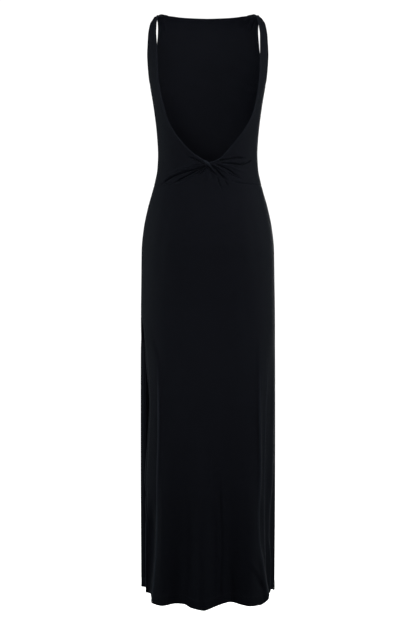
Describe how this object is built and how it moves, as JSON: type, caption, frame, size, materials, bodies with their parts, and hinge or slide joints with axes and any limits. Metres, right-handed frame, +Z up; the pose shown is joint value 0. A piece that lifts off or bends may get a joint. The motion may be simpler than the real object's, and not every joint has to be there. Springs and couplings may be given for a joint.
{
  "type": "maxi dress",
  "caption": "Long sleeveless column dress in dark jersey with a straight neckline, an open back that meets in a twist, and a side slit.",
  "frame": {"origin": "midway between the two shoulder straps, at the height where they lie on the shoulders", "axes": "+Z up, the dress's length hangs along -Z; the front faces -Y; the wearer's left, with the slit, is +X"},
  "size_m": [0.3342, 0.3046, 1.4556],
  "materials": {
    "jersey": "matte"
  },
  "bodies": {
    "root": {"front_panel": "jersey", "back_half_left": "jersey", "back_half_right": "jersey", "back_twist": "jersey", "back_skirt": "jersey"}
  },
  "joints": []
}
